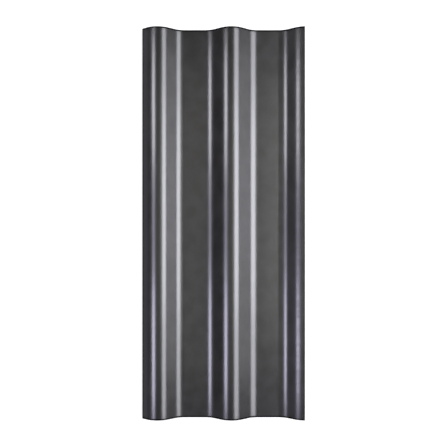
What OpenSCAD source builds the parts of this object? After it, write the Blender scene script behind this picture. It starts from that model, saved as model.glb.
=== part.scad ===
// Small-wave fibre cement roof sheet, one piece, lying on its valleys.
// X runs across the waves, Y along them, Z up from the underside of the valleys.

/* [Sheet] */
// Length of the sheet, along the waves
sheet_length = 1220; // [600:10:3660]
// Thickness of the sheet, square to its surface
sheet_thickness = 4; // [4:0.5:8]

/* [Wave] */
// Distance from one crest to the next
wave_pitch = 230; // [225:1:260]
// Rise from the top of a valley to the top of a crest
wave_height = 30; // [27:1:40]
// Bend radius over a crest, to the middle of the thickness
crest_radius = 60; // [50:1:70]
// Bend radius at the foot of a flank, to the middle of the thickness
foot_radius = 62; // [50:1:70]
// Slope of the straight flank between the two bends, in degrees
flank_angle = 32; // [28:1:36]

/* [Side laps] */
// Waves that one sheet covers, from its first crest to its last
cover_waves = 2; // [1:1:4]
// Reach of the covering edge past the first crest, down the neighbour's flank
covering_lap = 49; // [25:1:65]
// How far the covered edge stops short of the last crest's centre line
covered_gap = 3; // [0:0.5:10]

/* [Hidden] */

// Chords in each bend between a straight stretch and a crest's centre line or a valley
bend_steps = 12;

// The last crest lies under the neighbour's first one, so its outer half is left out.
sheet_width = covering_lap + cover_waves * wave_pitch - covered_gap;
first_crest_x = covering_lap - sheet_width / 2;

// Heights of the bends' centres
crest_centre_z = sheet_thickness / 2 + wave_height - crest_radius;
foot_centre_z = sheet_thickness / 2 + foot_radius;

// The straight flank climbs what the two bends leave of the wave's height.
bends_rise = (crest_radius + foot_radius) * (1 - cos(flank_angle));
flank_run = (wave_height - bends_rise) / tan(flank_angle);
// Distance across the wave from a crest to where the flat valley starts
foot_x = (crest_radius + foot_radius) * sin(flank_angle) + flank_run;

// Slopes at the ends of the chords of one bend, from level to the flank's slope
bend_slopes = [for (i = [0 : bend_steps]) flank_angle * i / bend_steps];
steep_first = [for (i = [bend_steps : -1 : 0]) bend_slopes[i]];

// Half a wave, from a crest's centre line down to the valley on its right, on the face
// that lies `out` above the middle of the thickness
function half_wave(out) = concat(
    [for (a = bend_slopes) [0, crest_centre_z] + (crest_radius + out) * [sin(a), cos(a)]],
    [for (a = steep_first) [foot_x, foot_centre_z] - (foot_radius - out) * [sin(a), cos(a)]]
);

// The same half wave on the crest's left, from the valley up to just short of the crest
function rising_half(falling) = [for (i = [len(falling) - 1 : -1 : 1]) [-falling[i].x, falling[i].y]];

// All the waves from left to right, running on past both side edges
function waves(out) = [
    for (
        i = [0 : cover_waves],
        p = concat(rising_half(half_wave(out)), half_wave(out))
    ) [first_crest_x + i * wave_pitch, 0] + p
];

function reversed(points) = [for (i = [len(points) - 1 : -1 : 0]) points[i]];

// The sheet's section, cut plumb at its two side edges
module section() {
    upper = waves(sheet_thickness / 2);
    under = waves(-sheet_thickness / 2);
    intersection() {
        polygon(concat(upper, reversed(under)));
        translate([-sheet_width / 2, -sheet_thickness])
            square([sheet_width, wave_height + 3 * sheet_thickness]);
    }
}

// The sheet, sawn square at both ends
module roof_sheet() {
    color([0.17, 0.17, 0.18])
        rotate([90, 0, 0])
            linear_extrude(sheet_length, center = true)
                section();
}

roof_sheet();
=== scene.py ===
import math

import bpy
from mathutils import Euler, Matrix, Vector, noise


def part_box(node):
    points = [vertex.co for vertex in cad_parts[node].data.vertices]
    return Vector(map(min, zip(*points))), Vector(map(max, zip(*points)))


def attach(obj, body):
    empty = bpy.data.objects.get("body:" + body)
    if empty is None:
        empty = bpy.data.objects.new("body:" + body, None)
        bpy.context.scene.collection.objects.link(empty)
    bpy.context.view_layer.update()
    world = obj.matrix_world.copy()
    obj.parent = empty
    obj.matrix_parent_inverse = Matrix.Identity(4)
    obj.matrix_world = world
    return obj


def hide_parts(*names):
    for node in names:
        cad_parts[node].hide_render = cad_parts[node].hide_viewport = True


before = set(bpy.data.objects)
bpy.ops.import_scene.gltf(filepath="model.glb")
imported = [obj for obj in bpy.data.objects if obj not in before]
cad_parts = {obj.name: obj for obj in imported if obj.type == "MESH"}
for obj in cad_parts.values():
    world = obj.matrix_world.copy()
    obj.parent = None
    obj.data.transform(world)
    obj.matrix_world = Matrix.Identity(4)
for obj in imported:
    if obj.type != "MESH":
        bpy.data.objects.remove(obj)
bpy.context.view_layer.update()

MM = 0.001

# The wave, as the part has it: pitch, bend radii to the middle of the thickness, flank slope
THICKNESS = 4 * MM
PITCH = 230 * MM
COVERING_LAP = 49 * MM
CREST_RADIUS = 60 * MM
FOOT_RADIUS = 62 * MM
FLANK_SLOPE = math.radians(32)

# The sheet's own box gives the rest
LOW, HIGH = (Vector(corner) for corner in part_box("roof_sheet"))
WIDTH = HIGH.x - LOW.x
LENGTH = HIGH.y - LOW.y
WAVE_HEIGHT = HIGH.z - LOW.z - THICKNESS
CENTRE = (LOW + HIGH) / 2
CRESTS = [LOW.x + COVERING_LAP + i * PITCH for i in range(round(WIDTH / PITCH) + 1)]

# The bends' centres, and the run of the straight flank between them
CREST_CENTRE = LOW.z + THICKNESS / 2 + WAVE_HEIGHT - CREST_RADIUS
FOOT_CENTRE = LOW.z + THICKNESS / 2 + FOOT_RADIUS
BENDS_RISE = (CREST_RADIUS + FOOT_RADIUS) * (1 - math.cos(FLANK_SLOPE))
FLANK_RUN = (WAVE_HEIGHT - BENDS_RISE) / math.tan(FLANK_SLOPE)
FOOT_X = (CREST_RADIUS + FOOT_RADIUS) * math.sin(FLANK_SLOPE) + FLANK_RUN

# Grid spacing across and along the waves
STEP_ACROSS = 2.4 * MM
STEP_ALONG = 8 * MM

# Sawn edges: the rounding of their corners, and how rough the saw left them
ARRIS = 0.8 * MM
ARRIS_STEPS = 4
EDGE_ROWS = 3
CHIP_DEPTH = 0.35 * MM
CHIP_REACH = 5 * ARRIS
FIBRE_DEPTH = 0.15 * MM

# A thin near-black line of painted shade round the sheet, standing in for the dark rounded arris, wider at
# the ends than along the sides
RIM_AT_ENDS = 4.8 * MM
RIM_AT_SIDES = 3.2 * MM

# Strip at each end that is painted darker towards that line, as shade deepening to the edge, and has less
# coat
END_SHADE_WIDTH = 14 * MM

# Strip along the covered edge in which handling has worn the coating duller
WORN_WIDTH = 36 * MM

# Mean depth of the unevenness of both faces: slow swells and finer ripples
SWELL_DEPTH = 0.10 * MM
RIPPLE_DEPTH = 0.018 * MM

# Shallow hollows along the weather face, chosen so that the streaks of light fall as in the photo:
# place across, reach and depth of each
HOLLOWS = (
    (CRESTS[0] - 11 * MM, 8 * MM, 0.06 * MM),
    (CRESTS[1] - 19 * MM, 8 * MM, 0.12 * MM),
    (CRESTS[1] + 16 * MM, 8 * MM, 0.08 * MM),
    (CRESTS[1] + 55 * MM, 8 * MM, 0.42 * MM),
    (CRESTS[2] - 52 * MM, 13 * MM, 0.30 * MM),
    (HIGH.x - 20 * MM, 9 * MM, 0.34 * MM),
)

# Strips of painted shade on the tops of two crests, darkened for how light falls there: place across and
# strength, then half widths
CREST_SHADE_STRIPS = ((CRESTS[0] + 2 * MM, 0.7), (CRESTS[1] - 4 * MM, 0.35))
CREST_SHADE_CORE = 6 * MM
CREST_SHADE_REACH = 12 * MM

# The outer flank of the covering lap has a painted sheen, paler between these distances from its edge and
# its crest
SHEEN_FROM_EDGE = 4 * MM
SHEEN_FADES_IN = 6 * MM
SHEEN_FADES_OUT = 27 * MM
SHEEN_FROM_CREST = 34 * MM

# Material slots of the sheet
WEATHER_FACE, PAINTED_SHADE_RIM, UNDERSIDE, SAWN_EDGE = range(4)


# ---------------------------------------------------------------- shape

def face_height(x, out):
    """Height of the face that lies `out` above the middle of the thickness, at x across the waves."""
    u = min(abs(x - crest) for crest in CRESTS)
    crest_bend = CREST_RADIUS + out
    foot_bend = FOOT_RADIUS - out
    flank_start = crest_bend * math.sin(FLANK_SLOPE)
    flank_end = FOOT_X - foot_bend * math.sin(FLANK_SLOPE)
    if u < flank_start:
        return CREST_CENTRE + math.sqrt(crest_bend ** 2 - u ** 2)
    if u < flank_end:
        drop = (u - flank_start) * math.tan(FLANK_SLOPE)
        return CREST_CENTRE + crest_bend * math.cos(FLANK_SLOPE) - drop
    if u < FOOT_X:
        return FOOT_CENTRE - math.sqrt(foot_bend ** 2 - (FOOT_X - u) ** 2)
    return LOW.z + THICKNESS / 2 + out


def arris_insets(rim):
    """Distances of the grid lines in from a sawn edge: over its rounding, at the rim's end and behind."""
    turns = [math.pi / 2 * i / ARRIS_STEPS for i in range(ARRIS_STEPS + 1)]
    return [ARRIS * (1 - math.cos(turn)) for turn in turns] + [rim, 2 * rim]


def arris_drop(inset):
    """How far the rounded arris lies under the face, at a distance in from the sawn edge."""
    if inset >= ARRIS:
        return 0.0
    return ARRIS - math.sqrt(ARRIS ** 2 - (ARRIS - inset) ** 2)


def lines_between(low, high, step, rim):
    """Grid lines from one sawn edge to the other: close together on the arrises, `step` apart between."""
    insets = arris_insets(rim)
    span = high - low - 2 * insets[-1]
    count = round(span / step)
    inner = [low + insets[-1] + i * span / count for i in range(1, count)]
    return [low + inset for inset in insets] + inner + [high - inset for inset in reversed(insets)]


def hollow(x):
    """How deep the hollows of the weather face are at x."""
    return sum(depth * math.exp(-((x - place) / reach) ** 2) for place, reach, depth in HOLLOWS)


def relief(x, y, side):
    """How far the pressed and dried face lies inside its true surface, always a little inwards."""
    swell = noise.noise(Vector((x * 22, y * 9, side * 3.0)))
    ripple = noise.noise(Vector((x * 30, y * 34, side * 7.0 + 1.5)))
    uneven = SWELL_DEPTH * (1 + swell) + RIPPLE_DEPTH * (1 + ripple)
    return uneven + hollow(x) if side > 0 else uneven


def face_point(x, y, side):
    """A point of the weather face (side 1) or the underside (side -1), with its arris, relief and chips."""
    from_end = min(y - LOW.y, HIGH.y - y)
    from_side = min(x - LOW.x, HIGH.x - x)
    inward = arris_drop(from_end) + arris_drop(from_side) + relief(x, y, side)
    chip = CHIP_DEPTH * (0.5 + 0.5 * noise.noise(Vector((x * 90, y * 5, 0))))
    near_end = max(0.0, 1 - from_end / CHIP_REACH)
    y_cut = y - math.copysign(chip * near_end, y - CENTRE.y)
    return (x, y_cut, face_height(x, side * THICKNESS / 2) - side * inward)


def in_rim(cell, lines):
    """Whether the cell with this number, in a row between so many grid lines, lies in the rim."""
    rim_cells = ARRIS_STEPS + 1
    return cell < rim_cells or cell >= lines - 1 - rim_cells


def border(nx, ny):
    """Grid indices round the edge of a face, in one loop that starts at its low corner."""
    front = list(range(nx - 1))
    right = [j * nx + nx - 1 for j in range(ny - 1)]
    rear = [(ny - 1) * nx + i for i in range(nx - 1, 0, -1)]
    left = [j * nx for j in range(ny - 1, 0, -1)]
    return front + right + rear + left


def edge_point(upper, under, share):
    """A point down a sawn edge, set in a little where the saw tore fibres out."""
    point = Vector(upper).lerp(Vector(under), share)
    torn = FIBRE_DEPTH * (0.5 + 0.5 * noise.noise(Vector((point.x * 160, point.y * 160, share * 9))))
    if abs(abs(point.x - CENTRE.x) - WIDTH / 2) < abs(abs(point.y - CENTRE.y) - LENGTH / 2):
        point.x -= math.copysign(torn, point.x - CENTRE.x)
    else:
        point.y -= math.copysign(torn, point.y - CENTRE.y)
    return tuple(point)


def edge_quads(rows):
    """Faces down the sawn edge, between rows of vertices that each run once round the sheet."""
    for upper, lower in zip(rows, rows[1:]):
        for k in range(len(upper)):
            ahead = (k + 1) % len(upper)
            yield upper[k], lower[k], lower[ahead], upper[ahead]


def sheet_object(verts, depths, faces, slots):
    """A smooth object of these faces, with their material slots and each vertex's depth in the thickness."""
    mesh = bpy.data.meshes.new("coated_sheet")
    mesh.from_pydata(verts, [], faces)
    mesh.polygons.foreach_set("material_index", slots)
    mesh.polygons.foreach_set("use_smooth", [True] * len(faces))
    mesh.attributes.new("depth", "FLOAT", "POINT").data.foreach_set("value", depths)
    mesh.update()
    sheet = bpy.data.objects.new("coated_sheet", mesh)
    bpy.context.collection.objects.link(sheet)
    return sheet


def build_sheet():
    """The sheet as one closed mesh: weather face, underside, and the sawn edge all round between them."""
    xs = lines_between(LOW.x, HIGH.x, STEP_ACROSS, RIM_AT_SIDES)
    ys = lines_between(LOW.y, HIGH.y, STEP_ALONG, RIM_AT_ENDS)
    nx, ny = len(xs), len(ys)
    verts = [face_point(x, y, side) for side in (1, -1) for y in ys for x in xs]
    depths = [0.0] * (nx * ny) + [1.0] * (nx * ny)
    cells = [j * nx + i for j in range(ny - 1) for i in range(nx - 1)]
    faces = [(a, a + 1, a + nx + 1, a + nx) for a in cells]
    # Faces in the rim take the near-black line of painted shade
    slots = [PAINTED_SHADE_RIM if in_rim(a % nx, nx) or in_rim(a // nx, ny) else WEATHER_FACE for a in cells]
    faces += [(a, a + nx, a + nx + 1, a + 1) for a in (nx * ny + cell for cell in cells)]
    slots += [UNDERSIDE] * len(cells)

    loop = border(nx, ny)
    rows = [loop]
    for row in range(1, EDGE_ROWS):
        share = row / EDGE_ROWS
        first = len(verts)
        verts += [edge_point(verts[a], verts[nx * ny + a], share) for a in loop]
        depths += [share] * len(loop)
        rows.append(list(range(first, len(verts))))
    rows.append([nx * ny + a for a in loop])
    sawn = list(edge_quads(rows))
    return sheet_object(verts, depths, faces + sawn, slots + [SAWN_EDGE] * len(sawn))


# ---------------------------------------------------------------- materials

# Colours, as linear light: the coating, its strips of painted sheen and painted shade, its edge line of
# painted shade, the underside and the sawn edge
GRAPHITE_COOL = (0.0180, 0.0168, 0.0170)
GRAPHITE_WARM = (0.0172, 0.0153, 0.0140)
GRAPHITE_GREY = (0.0320, 0.0302, 0.0298)
PAINTED_LAP_SHEEN = (0.048, 0.046, 0.050)
PAINTED_CREST_SHADE = (0.005, 0.005, 0.005)
PAINTED_END_SHADE = (0.010, 0.010, 0.010)
BARED = (0.012, 0.012, 0.012)
RIM_PAINTED_SHADE = (0.002, 0.002, 0.002)
RIM_SPECK = (0.005, 0.005, 0.005)
FELT_DARK = (0.060, 0.060, 0.062)
FELT_LIGHT = (0.085, 0.084, 0.083)
FELT_GRAIN = (0.110, 0.109, 0.107)
LAYER_DARK = (0.030, 0.030, 0.031)
LAYER_LIGHT = (0.060, 0.059, 0.058)
TORN_FIBRE = (0.090, 0.088, 0.085)


class Nodes:
    """A material with one Principled shader, and short calls that add the nodes feeding it."""

    def __init__(self, name):
        self.material = bpy.data.materials.new(name)
        self.material.use_nodes = True
        self.tree = self.material.node_tree
        self.shader = self.tree.nodes["Principled BSDF"]
        self.place = self.add("ShaderNodeTexCoord").outputs["Object"]

    def add(self, kind, **settings):
        node = self.tree.nodes.new(kind)
        for key, value in settings.items():
            setattr(node, key, value)
        return node

    def feed(self, value, socket):
        """Links an output to a socket, or sets a plain number or colour on it."""
        if isinstance(value, bpy.types.NodeSocket):
            self.tree.links.new(value, socket)
        elif isinstance(value, tuple) and socket.type == "RGBA":
            socket.default_value = (*value, 1.0)
        else:
            socket.default_value = value

    def surface(self, **values):
        """Sets the Principled shader's inputs, named with underscores for spaces."""
        for key, value in values.items():
            self.feed(value, self.shader.inputs[key.replace("_", " ")])

    def stretched(self, scale, place=None):
        mapping = self.add("ShaderNodeMapping")
        self.feed(scale, mapping.inputs["Scale"])
        self.feed(place or self.place, mapping.inputs["Vector"])
        return mapping.outputs["Vector"]

    def noise(self, scale, detail=4.0, roughness=0.55, place=None):
        node = self.add("ShaderNodeTexNoise")
        self.feed(1.0, node.inputs["Scale"])
        self.feed(detail, node.inputs["Detail"])
        self.feed(roughness, node.inputs["Roughness"])
        self.feed(self.stretched(scale, place), node.inputs["Vector"])
        return node.outputs["Fac"]

    def math(self, operation, a, b=0.0):
        node = self.add("ShaderNodeMath", operation=operation)
        self.feed(a, node.inputs[0])
        self.feed(b, node.inputs[1])
        return node.outputs[0]

    def span(self, value, low, high, to_low=0.0, to_high=1.0):
        """Maps low..high to to_low..to_high, clamped."""
        node = self.add("ShaderNodeMapRange", clamp=True)
        for key, number in (("Value", value), ("From Min", low), ("From Max", high),
                            ("To Min", to_low), ("To Max", to_high)):
            self.feed(number, node.inputs[key])
        return node.outputs["Result"]

    def blend(self, factor, a, b):
        node = self.add("ShaderNodeMix", data_type="RGBA")
        self.feed(factor, node.inputs[0])
        self.feed(a, node.inputs[6])
        self.feed(b, node.inputs[7])
        return node.outputs[2]

    def bump(self, height, distance, under=None):
        node = self.add("ShaderNodeBump")
        self.feed(distance, node.inputs["Distance"])
        self.feed(height, node.inputs["Height"])
        if under is not None:
            self.feed(under, node.inputs["Normal"])
        return node.outputs["Normal"]

    def axes(self):
        node = self.add("ShaderNodeSeparateXYZ")
        self.feed(self.place, node.inputs[0])
        return node.outputs["X"], node.outputs["Y"], node.outputs["Z"]

    def off(self, value, place):
        """Distance of a value from a place, on either side."""
        return self.math("ABSOLUTE", self.math("SUBTRACT", value, place))

    def from_end(self):
        """Distance in from the sheet's nearer end."""
        y = self.axes()[1]
        return self.math("SUBTRACT", LENGTH / 2, self.math("ABSOLUTE", y))

    def inside(self):
        """Distance in from the nearest edge of the sheet's outline, seen from above."""
        x = self.axes()[0]
        from_side = self.math("SUBTRACT", WIDTH / 2, self.math("ABSOLUTE", x))
        return self.math("MINIMUM", from_side, self.from_end())

    def pits(self, spacing, radius):
        """Sparse round pinholes, 1 in a pit and 0 between."""
        node = self.add("ShaderNodeTexVoronoi", voronoi_dimensions="2D")
        self.feed(1 / spacing, node.inputs["Scale"])
        self.feed(self.place, node.inputs["Vector"])
        return self.span(node.outputs["Distance"], 0.5 * radius / spacing, radius / spacing, 1.0, 0.0)


def coating_wear(n, x):
    """Wear beside the covered edge: how worn the coating is, and how dull in fine marks across the wave."""
    handled = n.span(n.noise((5, 4, 5)), 0.3, 0.7, 0.4, 1.0)
    worn = n.math("MULTIPLY", n.span(x, HIGH.x - WORN_WIDTH, HIGH.x - WORN_WIDTH / 2), handled)
    chatter = n.span(n.noise((25, 140, 25), detail=2.0), 0.42, 0.62)
    return worn, n.math("MULTIPLY", worn, chatter)


def painted_lap_sheen(n, x):
    """Mask of the painted sheen: 1 on the outer flank of the covering lap, up to the rim, and 0 elsewhere.
    """
    flank = n.span(x, CRESTS[0] - SHEEN_FROM_CREST, CRESTS[0] - SHEEN_FADES_OUT, 0.85, 0.0)
    past_rim = n.span(x, LOW.x + SHEEN_FROM_EDGE, LOW.x + SHEEN_FADES_IN)
    return n.math("MULTIPLY", flank, past_rim)


def coating_colour(n, x, cloud, mottle, drag, dull, pits):
    """Graphite, warmer in clouds and greyer in mottles and drag marks, with strips of painted sheen and
    painted shade.
    """
    colour = n.blend(n.span(cloud, 0.25, 0.75), GRAPHITE_COOL, GRAPHITE_WARM)
    colour = n.blend(n.span(mottle, 0.36, 0.64), colour, GRAPHITE_GREY)
    colour = n.blend(n.span(drag, 0.25, 0.75, 0.0, 0.3), colour, GRAPHITE_GREY)
    # Painted sheen: a paler violet grey on the covering lap's outer flank
    colour = n.blend(painted_lap_sheen(n, x), colour, PAINTED_LAP_SHEEN)
    # Painted shade: darker strips along the tops of the first two crests
    for place, strength in CREST_SHADE_STRIPS:
        colour = n.blend(n.span(n.off(x, place), CREST_SHADE_CORE, CREST_SHADE_REACH, strength, 0.0), colour, PAINTED_CREST_SHADE)
    # Painted shade: darker towards each end, deepening to the edge line
    colour = n.blend(n.span(n.from_end(), RIM_AT_ENDS, END_SHADE_WIDTH, 0.5, 0.0), colour, PAINTED_END_SHADE)
    colour = n.blend(n.math("MULTIPLY", dull, 0.5), colour, BARED)
    return n.blend(pits, colour, BARED)


def coating_relief(n, drag, pits):
    """Drag marks, orange peel, fine grain and pinholes, as a normal."""
    peel = n.noise((60, 34, 60), detail=2.0, roughness=0.3)
    grain = n.noise((420, 420, 420), detail=3.0)
    normal = n.bump(drag, 0.006 * MM)
    normal = n.bump(peel, 0.020 * MM, under=normal)
    normal = n.bump(grain, 0.004 * MM, under=normal)
    return n.bump(pits, -0.15 * MM, under=normal)


def coated_face():
    """Graphite coating: semi-gloss, faintly mottled, with drag marks and pinholes.

    Towards both ends it is painted darker, as shade deepening to the edge line. The covering lap's outer
    flank has a painted sheen, and the tops of the first two crests have painted shade. Along the covered
    edge it is worn duller, in fine marks across the wave.
    """
    n = Nodes("graphite_coating")
    x = n.axes()[0]
    cloud = n.noise((14, 8, 14), detail=1.0)
    mottle = n.noise((26, 24, 26), detail=3.0, roughness=0.45)
    drag = n.noise((60, 1.6, 60), detail=2.0)
    pits = n.pits(spacing=22 * MM, radius=0.5 * MM)
    worn, dull = coating_wear(n, x)

    colour = coating_colour(n, x, cloud, mottle, drag, dull, pits)
    rough = n.math("ADD", n.span(cloud, 0.25, 0.75, 0.275, 0.283), n.span(mottle, 0.25, 0.75, 0.0, 0.010))
    rough = n.math("ADD", rough, n.math("MULTIPLY", worn, 0.05))
    kept = n.span(n.from_end(), RIM_AT_ENDS, END_SHADE_WIDTH, 0.6, 1.0)
    coat = n.math("MULTIPLY", n.span(dull, 0.0, 1.0, 1.0, 0.1), kept)
    n.surface(Base_Color=colour, Roughness=rough, Normal=coating_relief(n, drag, pits),
              Specular_IOR_Level=1.0, Coat_Weight=coat, Coat_Roughness=0.18)
    return n.material


def rim_painted_shade():
    """Painted shade: a thin matt near-black line round the sheet, standing in for the dark rounded arris."""
    n = Nodes("rim_painted_shade")
    speck = n.noise((600, 600, 600), detail=3.0)
    colour = n.blend(n.span(speck, 0.4, 0.6), RIM_PAINTED_SHADE, RIM_SPECK)
    rough = n.span(speck, 0.3, 0.7, 0.55, 0.7)
    normal = n.bump(speck, 0.03 * MM)
    n.surface(Base_Color=colour, Roughness=rough, Normal=normal, Specular_IOR_Level=0.06)
    return n.material


def felt_face():
    """Underside: matt grey body with the imprint of the felt that it was formed on."""
    n = Nodes("felt_underside")
    cloud = n.noise((9, 6, 9))
    grain = n.noise((700, 700, 700), detail=5.0, roughness=0.7)
    weave = n.math("MAXIMUM", n.noise((700, 60, 60), detail=1.0), n.noise((60, 700, 60), detail=1.0))
    colour = n.blend(n.span(cloud, 0.35, 0.65), FELT_DARK, FELT_LIGHT)
    colour = n.blend(n.span(grain, 0.35, 0.65, 0.0, 0.35), colour, FELT_GRAIN)
    normal = n.bump(weave, 0.08 * MM)
    normal = n.bump(grain, 0.06 * MM, under=normal)
    n.surface(Base_Color=colour, Roughness=0.75, Normal=normal)
    return n.material


def sawn_face():
    """Sawn edge: thin fibre cement layers that run along the sheet, with torn fibres."""
    n = Nodes("sawn_edge")
    x, y = n.axes()[:2]
    depth = n.add("ShaderNodeAttribute", attribute_name="depth").outputs["Fac"]
    along = n.add("ShaderNodeCombineXYZ")
    n.feed(x, along.inputs["X"])
    n.feed(y, along.inputs["Y"])
    n.feed(n.math("MULTIPLY", depth, THICKNESS), along.inputs["Z"])
    layers = n.noise((40, 40, 3000), detail=3.0, place=along.outputs[0])
    fibres = n.noise((1100, 1100, 900), detail=6.0, roughness=0.7)
    colour = n.blend(n.span(layers, 0.35, 0.65), LAYER_DARK, LAYER_LIGHT)
    colour = n.blend(n.span(fibres, 0.5, 0.75, 0.0, 0.5), colour, TORN_FIBRE)
    normal = n.bump(layers, 0.15 * MM)
    normal = n.bump(fibres, 0.20 * MM, under=normal)
    n.surface(Base_Color=colour, Roughness=0.85, Normal=normal)
    return n.material


# ---------------------------------------------------------------- studio

# The paper floor's colour, then its glow under the sheet, close to it and far off; the lower glow near the
# sheet is a painted shadow
FLOOR_COLOUR = (0.45, 0.45, 0.45)
FLOOR_GLOW_IN_PAINTED_SHADOW = 0.12
FLOOR_GLOW_NEAR = 0.80
FLOOR_GLOW_FAR = 1.0

# The floor's glow changes from this far inside the sheet's outline to this far outside it
SHADOW_INSIDE = -30 * MM
SHADOW_FAR = 300 * MM

# The backdrop's glow fades into the ceiling's between these two heights over the horizon
BACKDROP_GLOW = 0.65
BACKDROP_TOP = math.radians(2)
CEILING_START = math.radians(13)
CEILING_GLOW = 0.02


def build_floor():
    """White paper floor: its glow is dimmed under the sheet and close to it as a painted shadow over its
    real one, and it is plain white further out.
    """
    bpy.ops.mesh.primitive_plane_add(size=40, location=(CENTRE.x, CENTRE.y, LOW.z - 0.05 * MM))
    floor = bpy.context.object
    floor.name = "floor"
    n = Nodes("floor_white")
    outside = n.math("MULTIPLY", n.inside(), -1.0)
    # Painted shadow: the floor's glow is low under the sheet and rises outwards
    under = n.span(outside, SHADOW_INSIDE, 0.0, FLOOR_GLOW_IN_PAINTED_SHADOW, FLOOR_GLOW_NEAR)
    glow = n.math("ADD", under, n.span(outside, 0.0, SHADOW_FAR, 0.0, FLOOR_GLOW_FAR - FLOOR_GLOW_NEAR))
    path = n.add("ShaderNodeLightPath")
    seen = n.math("MAXIMUM", path.outputs["Is Camera Ray"], path.outputs["Is Glossy Ray"])
    seen = n.math("MAXIMUM", seen, path.outputs["Is Transmission Ray"])
    n.surface(Base_Color=FLOOR_COLOUR, Roughness=1.0, Specular_IOR_Level=0.0,
              Emission_Color=(1.0, 1.0, 1.0), Emission_Strength=n.math("MULTIPLY", seen, glow))
    floor.data.materials.append(n.material)


def softbox(name, azimuth, lean, distance, along, width, length, radiance, colour, tilt=None):
    """A rectangular light that hangs at `azimuth`, `lean` degrees off plumb from the sheet's middle.

    It faces the middle, or has its own `tilt` off level. `along` moves it along its long side.
    """
    data = bpy.data.lights.new(name, "AREA")
    data.shape = "RECTANGLE"
    data.size = width
    data.size_y = length
    data.energy = radiance * math.pi * width * length
    data.color = colour
    light = bpy.data.objects.new(name, data)
    swing = Euler((0, math.radians(lean), math.radians(azimuth)))
    light.location = swing.to_matrix() @ Vector((0, along, distance))
    light.rotation_euler = Euler((0, math.radians(lean if tilt is None else tilt), math.radians(azimuth)))
    bpy.context.collection.objects.link(light)


def build_lights():
    """Two nearly level softboxes close by on the left, a large one on the right, and dim fill all round.

    The fill hangs overhead as narrow panels, and stands as walls on the right and beyond both ends.
    """
    violet = (1.0, 0.98, 1.24)
    cool = (1.0, 0.99, 1.08)
    neutral = (1.0, 1.01, 1.08)
    warm = (1.01, 1.0, 0.85)
    # Name, azimuth, lean, distance, along, width, length, radiance, colour and, for some, tilt
    softbox("left_rear_box", 0, -32.8, 2.59, 1.04, 0.69, 0.92, 5.9, cool, -11)
    softbox("left_front_box", 0, -32.8, 2.59, -0.91, 0.69, 0.98, 5.75, violet, -11)
    softbox("left_bridge", 0, -32.8, 2.59, 0.08, 0.69, 1.0, 1.75, violet, -11)
    softbox("right_box", 0, 32.5, 3.91, 0.2, 2.03, 4.8, 3.95, neutral, -7.5)
    softbox("right_core", 0, 32.5, 3.90, 0.3, 2.03, 2.2, 2.3, neutral, -7.5)
    softbox("right_wall", 0, 67.9, 4.7, 0.3, 3.0, 4.2, 0.95, neutral)
    softbox("right_wall_core", 0, 67.9, 4.69, 0.4, 3.0, 1.6, 0.25, cool)
    softbox("overhead_right", 0, 10.5, 4.0, 0.25, 0.45, 2.9, 0.86, warm)
    softbox("overhead_left", 0, -5, 4.0, 0.1, 0.4, 3.5, 0.45, warm)
    softbox("left_fill", 0, -17, 4.0, 0.1, 0.56, 2.6, 0.30, warm)
    softbox("front_wall", -90, 62, 4.5, 0.0, 1.6, 4.0, 0.3, neutral)
    softbox("rear_wall", 90, 62, 4.5, 0.0, 1.6, 4.0, 0.3, neutral)


def build_world():
    """White backdrop all round at a low height, under a dark ceiling; the camera sees white throughout."""
    world = bpy.data.worlds.new("studio")
    world.use_nodes = True
    tree = world.node_tree
    background = tree.nodes["Background"]
    background.inputs["Color"].default_value = (1, 1, 1, 1)
    direction = tree.nodes.new("ShaderNodeTexCoord")
    split = tree.nodes.new("ShaderNodeSeparateXYZ")
    tree.links.new(direction.outputs["Generated"], split.inputs[0])
    fade = tree.nodes.new("ShaderNodeMapRange")
    fade.interpolation_type = "SMOOTHSTEP"
    fade.inputs["From Min"].default_value = math.sin(BACKDROP_TOP)
    fade.inputs["From Max"].default_value = math.sin(CEILING_START)
    fade.inputs["To Min"].default_value = BACKDROP_GLOW
    fade.inputs["To Max"].default_value = CEILING_GLOW
    tree.links.new(split.outputs["Z"], fade.inputs["Value"])
    path = tree.nodes.new("ShaderNodeLightPath")
    brighter = tree.nodes.new("ShaderNodeMath")
    brighter.operation = "MAXIMUM"
    tree.links.new(fade.outputs["Result"], brighter.inputs[0])
    tree.links.new(path.outputs["Is Camera Ray"], brighter.inputs[1])
    tree.links.new(brighter.outputs[0], background.inputs["Strength"])
    bpy.context.scene.world = world


# The camera's place in metres, its lens and sensor in millimetres, and its shift in frame widths
CAMERA_PLACE = (0.0012, -0.053, 1.604)
CAMERA_LENS = 40.92
CAMERA_SENSOR = 36
CAMERA_SHIFT = 0.0381


def build_camera():
    """Looks straight down on the sheet, which runs up the frame."""
    data = bpy.data.cameras.new("camera")
    data.sensor_width = CAMERA_SENSOR
    data.lens = CAMERA_LENS
    data.shift_y = CAMERA_SHIFT
    data.clip_start = 0.05
    camera = bpy.data.objects.new("camera", data)
    camera.location = CAMERA_PLACE
    bpy.context.collection.objects.link(camera)
    bpy.context.scene.camera = camera


sheet = build_sheet()
for material in (coated_face(), rim_painted_shade(), felt_face(), sawn_face()):
    sheet.data.materials.append(material)
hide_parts("roof_sheet")
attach(sheet, "root")

build_floor()
build_lights()
build_world()
build_camera()
bpy.context.scene.view_settings.view_transform = "Standard"
